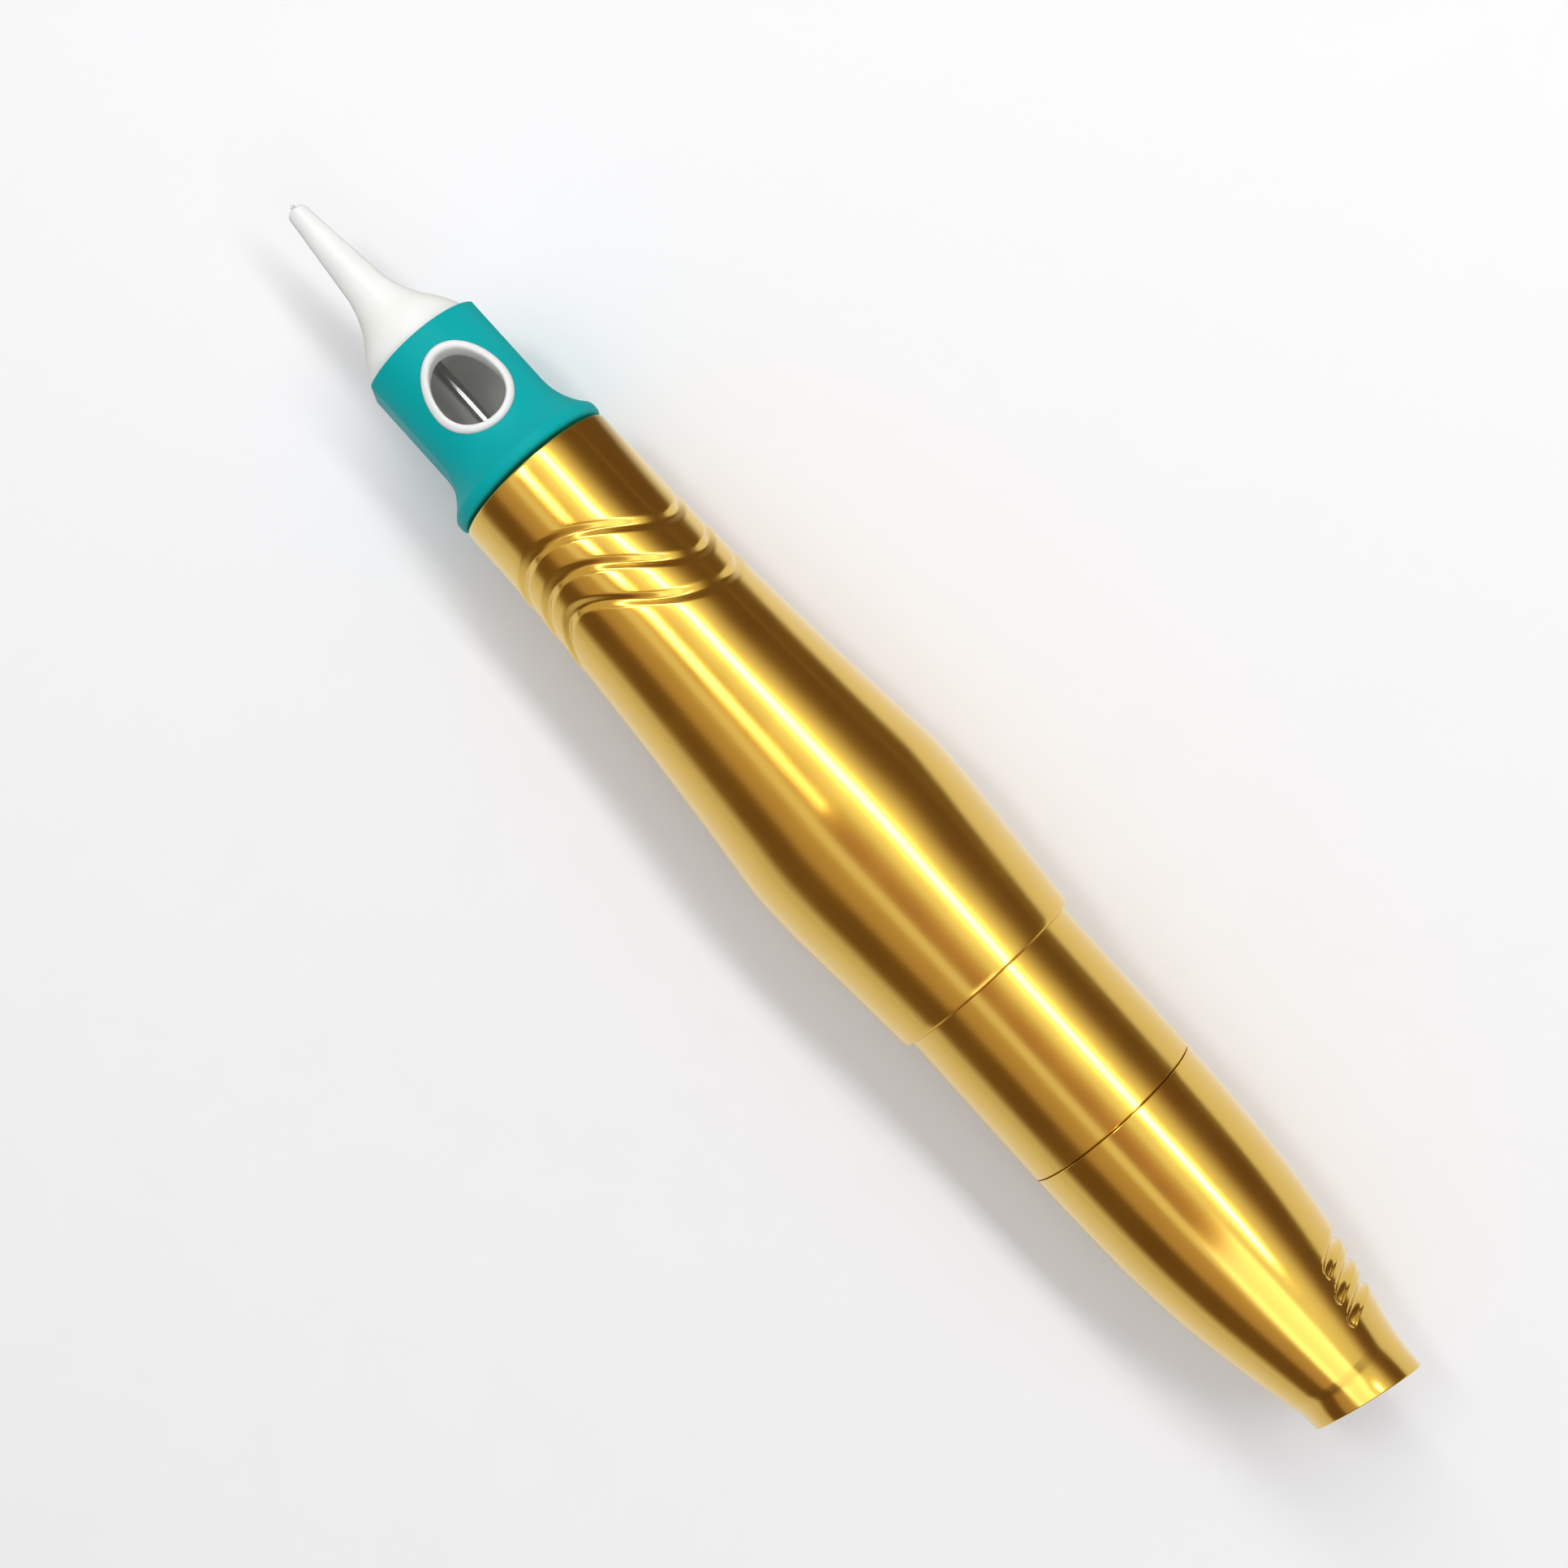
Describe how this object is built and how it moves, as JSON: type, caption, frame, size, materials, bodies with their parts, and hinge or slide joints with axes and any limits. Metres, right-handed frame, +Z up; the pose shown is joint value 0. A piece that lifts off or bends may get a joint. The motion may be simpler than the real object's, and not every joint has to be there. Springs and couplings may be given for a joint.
{
  "type": "tattoo pen",
  "caption": "Slim rotary tattoo pen with a swelling grip, wave grooves, an oblique tail and a windowed needle cartridge fitted.",
  "frame": {"origin": "middle of the bounding box at its bottom: under the pen's axis, on the surface that the belly rests on", "axes": "+X along the pen's axis towards the tail, with the needles towards -X; +Z up, through the cartridge's window side; +Y towards the tail's scoops"},
  "size_m": [0.142, 0.021, 0.021],
  "materials": {
    "gold_shell": "polished gold anodised",
    "white_plastic": "satin translucent white",
    "teal_plastic": "semi-gloss teal",
    "steel": "polished stainless steel",
    "bright_aluminium": "turned, plain",
    "bronze": "sintered bronze",
    "brass": "plain brass",
    "nickel": "nickel plated",
    "black_plastic": "matt black",
    "black_rubber": "black nitrile rubber",
    "clear_rubber": "milky silicone rubber",
    "magnet": "dark sintered magnet",
    "copper": "varnished copper winding",
    "red_wire": "red insulated wire",
    "black_wire": "black insulated wire"
  },
  "bodies": {
    "barrel": {"motor_barrel": "gold_shell", "tail_cap": "gold_shell", "push_rod_bush": "bronze", "rod_seal": "black_rubber", "guide_pin": "steel", "motor_mount": "bright_aluminium", "mount_screws": "steel", "motor_can": "steel", "motor_magnet": "magnet", "motor_bearings": "bronze", "motor_brushes": "brass", "motor_end_cap": "black_plastic", "motor_terminals": "brass", "jack_socket": "nickel", "jack_insulator": "black_plastic", "jack_contacts": "brass", "jack_nut": "nickel", "lead_red": "red_wire", "lead_black": "black_wire"},
    "depth_ring": {"friction_ring": "black_rubber"},
    "grip": {"grip_shell": "gold_shell", "key_socket": "steel", "socket_seal": "black_rubber", "seat_ring": "steel"},
    "cartridge": {"cartridge_housing": "white_plastic", "cartridge_sleeve": "teal_plastic", "cartridge_plug": "white_plastic", "cartridge_membrane": "clear_rubber"},
    "needle": {"needle_points": "steel", "needle_bar": "steel", "needle_plunger": "black_plastic"},
    "drive": {"drive_carriage": "bright_aluminium", "follower_pin": "steel", "push_rod": "steel"},
    "rotor": {"motor_shaft": "steel", "motor_coil": "copper", "commutator": "brass", "cam_drum": "bright_aluminium", "cam_screw": "steel"}
  },
  "joints": [
    {"name": "depth_turn", "type": "hinge", "parent": "depth_ring", "child": "grip", "pos_m": [0, 0, 0.01049], "axis": [-1, 0, 0], "range_deg": [0, 360]},
    {"name": "depth_travel", "type": "slide", "parent": "barrel", "child": "depth_ring", "axis": [-1, 0, 0], "range_m": [0, 0.003]},
    {"name": "cartridge_pull", "type": "slide", "parent": "grip", "child": "cartridge", "axis": [-1, 0, 0], "range_m": [0, 0.03]},
    {"name": "drive_stroke", "type": "slide", "parent": "barrel", "child": "drive", "axis": [-1, 0, 0], "range_m": [-0.0009, 0.0016]},
    {"name": "needle_stroke", "type": "slide", "parent": "cartridge", "child": "needle", "axis": [-1, 0, 0], "range_m": [-0.0009, 0.0016]},
    {"name": "motor_spin", "type": "hinge", "parent": "barrel", "child": "rotor", "pos_m": [0, 0, 0.01049], "axis": [-1, 0, 0], "continuous": true}
  ],
  "couplings": [
    {"joint": "depth_travel", "follows": "depth_turn", "m_per_rad": 0.00047746},
    {"joint": "needle_stroke", "follows": "drive_stroke", "ratio": 1}
  ]
}
